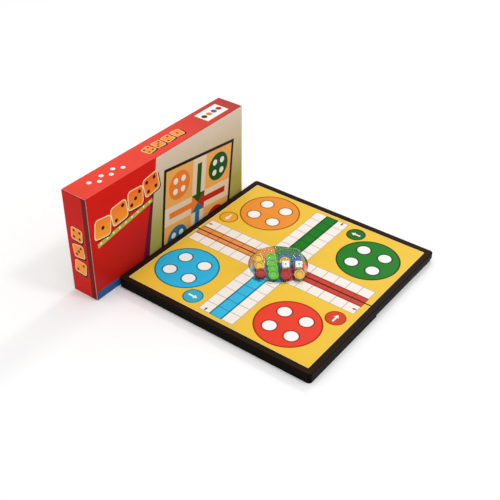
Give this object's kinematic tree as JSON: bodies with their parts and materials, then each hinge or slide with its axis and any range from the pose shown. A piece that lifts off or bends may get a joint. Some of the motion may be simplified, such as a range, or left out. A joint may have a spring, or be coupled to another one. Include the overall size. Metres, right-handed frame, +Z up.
{
  "type": "magnetic ludo game",
  "caption": "Folding ludo board: magnetic printed play surface on hinged hollow plastic trays, with a clear bag of counters and dice and a tuck-end carton for the shut board.",
  "frame": {"origin": "on the table, under the middle of the outline of the whole set", "axes": "+X along the fold, to the right; +Y away from the player, across the fold; +Z up"},
  "size_m": [0.3638, 0.361, 0.1634],
  "materials": {
    "black_shell": "fine moulded satin",
    "tinplate": "bare tinplate",
    "printed_sheet": "laminated print",
    "hinge_wire": "drawn wire",
    "clear_film": "clear film",
    "red_plastic": "moulded gloss",
    "yellow_plastic": "moulded gloss",
    "blue_plastic": "moulded gloss",
    "green_plastic": "moulded gloss",
    "die_plastic": "moulded gloss",
    "ferrite": "sintered",
    "carton_board": "printed and varnished"
  },
  "bodies": {
    "front_half": {"front_shell": "black_shell", "front_steel_plate": "tinplate", "front_print_sheet": "printed_sheet", "left_hinge_pin": "hinge_wire", "right_hinge_pin": "hinge_wire"},
    "rear_half": {"rear_shell": "black_shell", "rear_steel_plate": "tinplate", "rear_print_sheet": "printed_sheet"},
    "bag": {"counter_bag": "clear_film", "red_counter_1": "red_plastic", "red_counter_2": "red_plastic", "red_counter_3": "red_plastic", "red_counter_4": "red_plastic", "yellow_counter_1": "yellow_plastic", "yellow_counter_2": "yellow_plastic", "yellow_counter_3": "yellow_plastic", "yellow_counter_4": "yellow_plastic", "blue_counter_1": "blue_plastic", "blue_counter_2": "blue_plastic", "blue_counter_3": "blue_plastic", "blue_counter_4": "blue_plastic", "green_counter_1": "green_plastic", "green_counter_2": "green_plastic", "green_counter_3": "green_plastic", "green_counter_4": "green_plastic", "red_magnets": "ferrite", "yellow_magnets": "ferrite", "blue_magnets": "ferrite", "green_magnets": "ferrite", "die_1": "die_plastic", "die_2": "die_plastic"},
    "carton": {"carton_sleeve": "carton_board"},
    "left_tuck": {"left_tuck_flap": "carton_board"},
    "right_tuck": {"right_tuck_flap": "carton_board"},
    "left_upper_dust": {"left_upper_dust_flap": "carton_board"},
    "left_lower_dust": {"left_lower_dust_flap": "carton_board"},
    "right_upper_dust": {"right_upper_dust_flap": "carton_board"},
    "right_lower_dust": {"right_lower_dust_flap": "carton_board"}
  },
  "joints": [
    {"name": "board_fold", "type": "hinge", "parent": "front_half", "child": "rear_half", "pos_m": [0.02235, 0.021, 0.0025], "axis": [-1, 0, 0], "range_deg": [0, 180]},
    {"name": "bag_lift", "type": "slide", "parent": "front_half", "child": "bag", "axis": [0, 0, 1], "range_m": [0, 0.15]},
    {"name": "carton_lift", "type": "slide", "parent": "front_half", "child": "carton", "axis": [0, 0, 1], "range_m": [0, 0.2]},
    {"name": "left_tuck_fold", "type": "hinge", "parent": "carton", "child": "left_tuck", "pos_m": [-0.18185, -0.1798, 0.0817], "axis": [0, 0, -1], "range_deg": [0, 165]},
    {"name": "right_tuck_fold", "type": "hinge", "parent": "carton", "child": "right_tuck", "pos_m": [-0.18185, 0.142, 0.0817], "axis": [0, 0, 1], "range_deg": [0, 165]},
    {"name": "left_upper_dust_fold", "type": "hinge", "parent": "carton", "child": "left_upper_dust", "pos_m": [-0.1599, -0.1789, 0.1625], "axis": [1, 0, 0], "range_deg": [0, 88]},
    {"name": "left_lower_dust_fold", "type": "hinge", "parent": "carton", "child": "left_lower_dust", "pos_m": [-0.1599, -0.1789, 0.0009], "axis": [-1, 0, 0], "range_deg": [0, 88]},
    {"name": "right_upper_dust_fold", "type": "hinge", "parent": "carton", "child": "right_upper_dust", "pos_m": [-0.1599, 0.1411, 0.1625], "axis": [-1, 0, 0], "range_deg": [0, 88]},
    {"name": "right_lower_dust_fold", "type": "hinge", "parent": "carton", "child": "right_lower_dust", "pos_m": [-0.1599, 0.1411, 0.0009], "axis": [1, 0, 0], "range_deg": [0, 88]}
  ]
}
